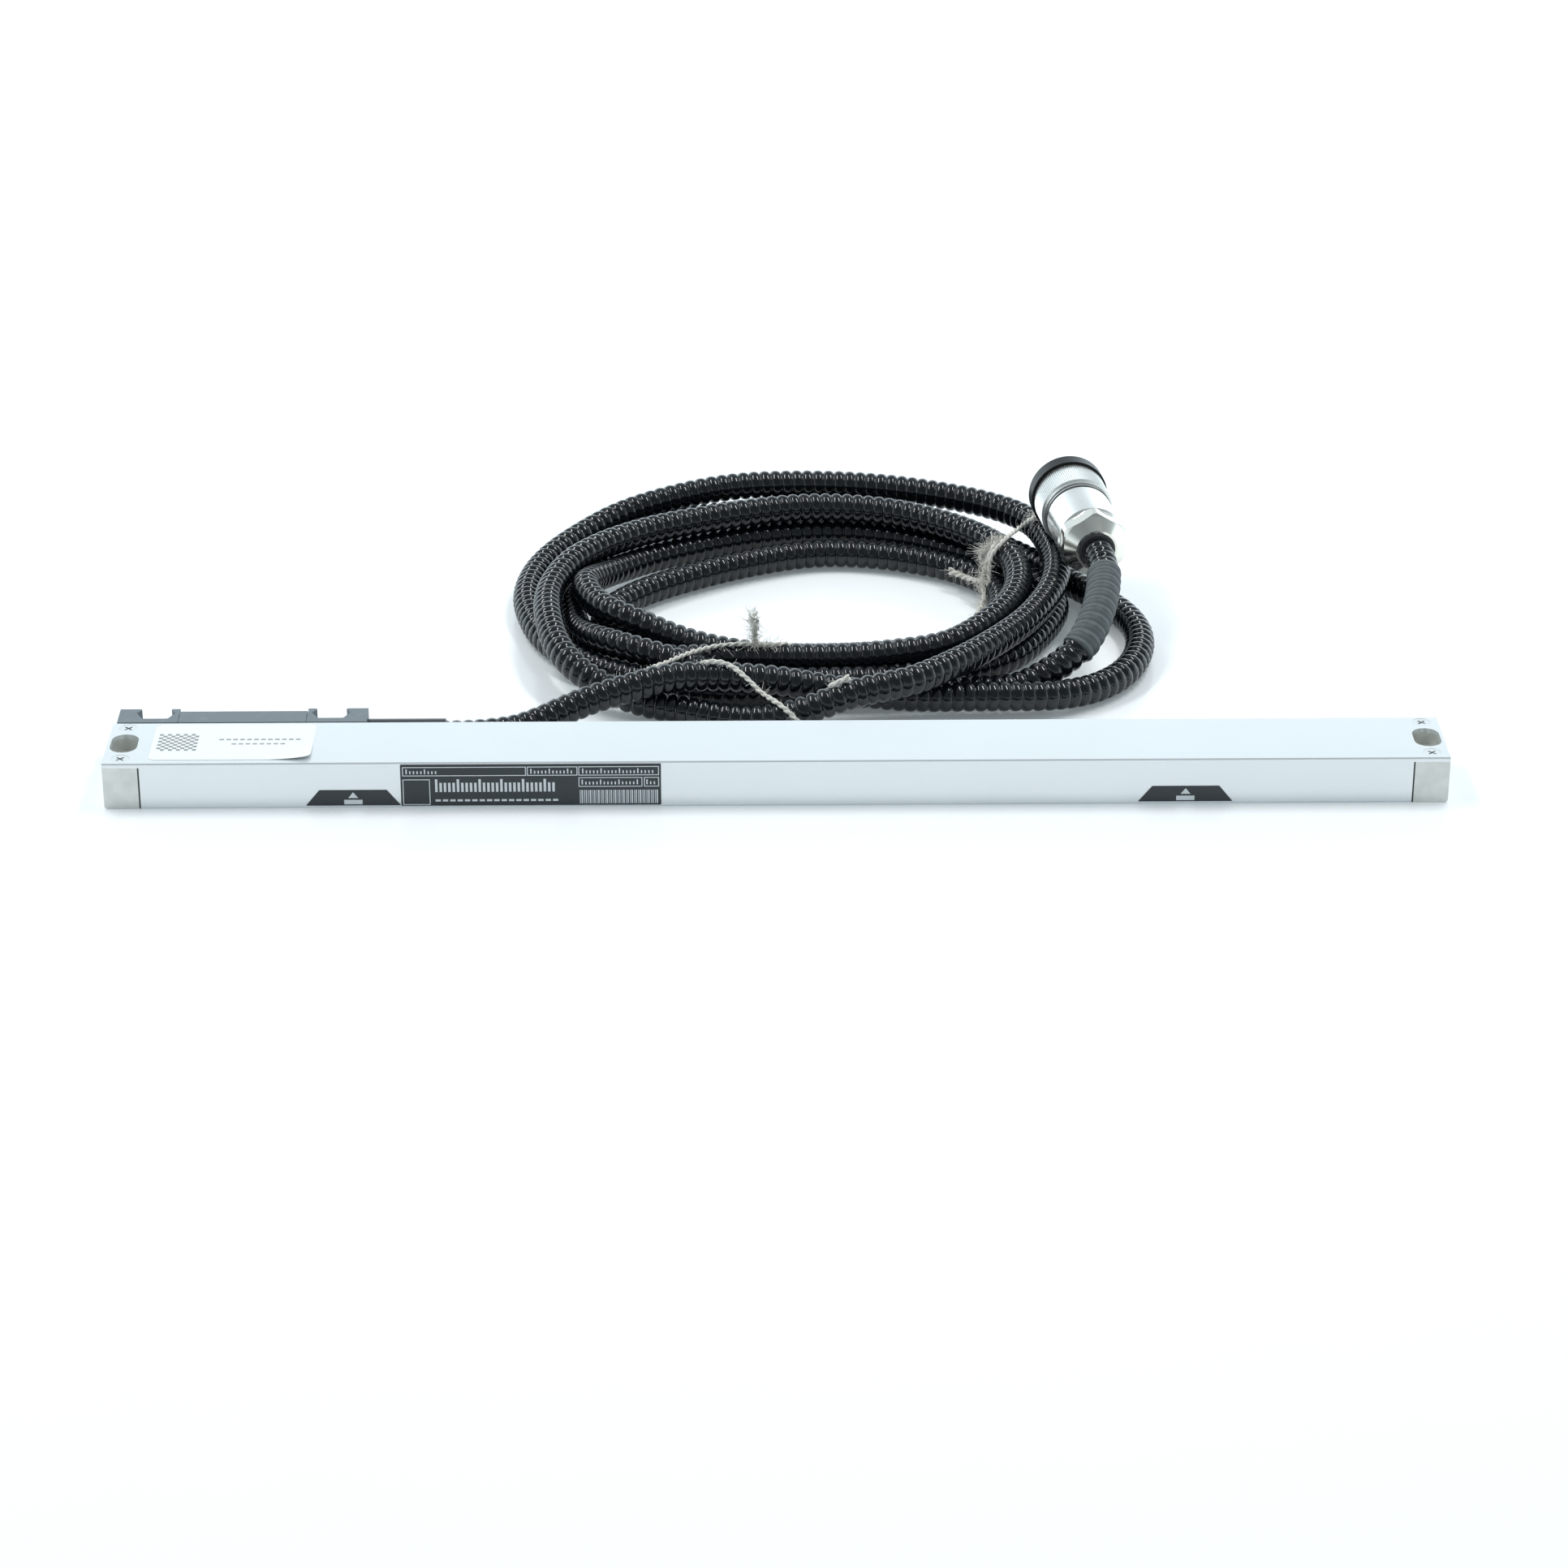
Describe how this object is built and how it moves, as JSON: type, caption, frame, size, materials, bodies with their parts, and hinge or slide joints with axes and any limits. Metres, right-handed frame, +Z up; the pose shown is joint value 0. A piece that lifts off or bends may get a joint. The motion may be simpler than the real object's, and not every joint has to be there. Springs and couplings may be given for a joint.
{
  "type": "linear glass scale",
  "caption": "Sealed linear glass scale: slim aluminium housing with sliding scanning unit, coiled armoured cable and round connector.",
  "frame": {"origin": "under the middle of the housing and scanning unit at the start of travel, on the resting surface", "axes": "+X along the scale, in the scanning unit's direction of travel; +Y to the slotted side; +Z up"},
  "size_m": [0.404, 0.2424, 0.0433],
  "materials": {
    "anodised_aluminium": "satin anodised, fine drawn lines",
    "cast_alloy": "cast, fine grain, matt",
    "screw_steel": "bright zinc",
    "seal_rubber": "matt",
    "scale_glass": "polished, with a fine chromium graduation",
    "elastic_bond": "matt",
    "carriage_alloy": "die cast",
    "bearing_steel": "polished",
    "lamp_resin": "clear cast",
    "circuit_board": "solder mask",
    "silicon": "polished",
    "spring_steel": "ground",
    "lead_film": "polyimide film",
    "block_paint": "fine structured anthracite paint",
    "brass": "turned",
    "sleeve_plastic": "smooth shrink sleeve",
    "cable_coat": "glossy plastic coat on a spiral steel conduit",
    "shrink_sleeve": "matt shrink sleeve",
    "connector_nickel": "nickel plated, turned",
    "insulator": "moulded",
    "contact_gold": "gold plated",
    "cap_plastic": "moulded, fine grain"
  },
  "bodies": {
    "housing": {"housing_extrusion": "anodised_aluminium", "end_block_left": "cast_alloy", "end_block_right": "cast_alloy", "end_gaskets": "seal_rubber", "end_block_screws": "screw_steel", "glass_scale": "scale_glass", "scale_bond": "elastic_bond", "sealing_lip_upper": "seal_rubber", "sealing_lip_lower": "seal_rubber"},
    "scanning_unit": {"scanning_carriage": "carriage_alloy", "bearing_pins": "spring_steel", "light_source": "lamp_resin", "condenser_lens": "scale_glass", "scanning_reticle": "scale_glass", "photocell_board": "circuit_board", "photocells": "silicon", "coupling_blade": "spring_steel", "coupling_rod": "spring_steel", "signal_lead": "lead_film", "mounting_block": "block_paint", "block_cover": "block_paint", "cover_gasket": "seal_rubber", "connection_board": "circuit_board", "conduit_ferrule": "brass", "outlet_sleeve": "sleeve_plastic", "cable_lead": "cable_coat", "cable_coil": "cable_coat", "cable_loop": "cable_coat", "cable_tail": "cable_coat", "cable_shrink_sleeve": "shrink_sleeve", "cable_end": "cable_coat", "gland_seal": "seal_rubber", "clamp_nut": "connector_nickel", "connector_barrel": "connector_nickel", "barrel_o_ring": "seal_rubber", "connector_insert": "insulator", "contact_pins": "contact_gold"},
    "face_roller_left": {"face_bearing_left": "bearing_steel"},
    "face_roller_right": {"face_bearing_right": "bearing_steel"},
    "edge_roller_left": {"edge_bearing_left": "bearing_steel"},
    "edge_roller_right": {"edge_bearing_right": "bearing_steel"},
    "coupling_ring": {"coupling_ring": "connector_nickel", "dust_cap": "cap_plastic"}
  },
  "joints": [
    {"name": "unit_slide", "type": "slide", "parent": "housing", "child": "scanning_unit", "axis": [1, 0, 0], "range_m": [0, 0.326]},
    {"name": "face_roller_left_turn", "type": "hinge", "parent": "scanning_unit", "child": "face_roller_left", "pos_m": [-0.1801, -0.01002, 0.01075], "axis": [0, 1, 0], "continuous": true},
    {"name": "face_roller_right_turn", "type": "hinge", "parent": "scanning_unit", "child": "face_roller_right", "pos_m": [-0.1461, -0.01002, 0.01075], "axis": [0, 1, 0], "continuous": true},
    {"name": "edge_roller_left_turn", "type": "hinge", "parent": "scanning_unit", "child": "edge_roller_left", "pos_m": [-0.1831, -0.00462, 0.0074], "axis": [0, 0, 1], "continuous": true},
    {"name": "edge_roller_right_turn", "type": "hinge", "parent": "scanning_unit", "child": "edge_roller_right", "pos_m": [-0.1431, -0.00462, 0.0074], "axis": [0, 0, 1], "continuous": true},
    {"name": "coupling_ring_turn", "type": "hinge", "parent": "scanning_unit", "child": "coupling_ring", "pos_m": [0.10058, 0.15009, 0.03004], "axis": [-0.1356, 0.9898, 0.0436], "continuous": true}
  ],
  "couplings": [
    {"joint": "face_roller_left_turn", "follows": "unit_slide", "rad_per_m": 500},
    {"joint": "face_roller_right_turn", "follows": "unit_slide", "rad_per_m": 500},
    {"joint": "edge_roller_left_turn", "follows": "unit_slide", "rad_per_m": -500},
    {"joint": "edge_roller_right_turn", "follows": "unit_slide", "rad_per_m": -500}
  ]
}
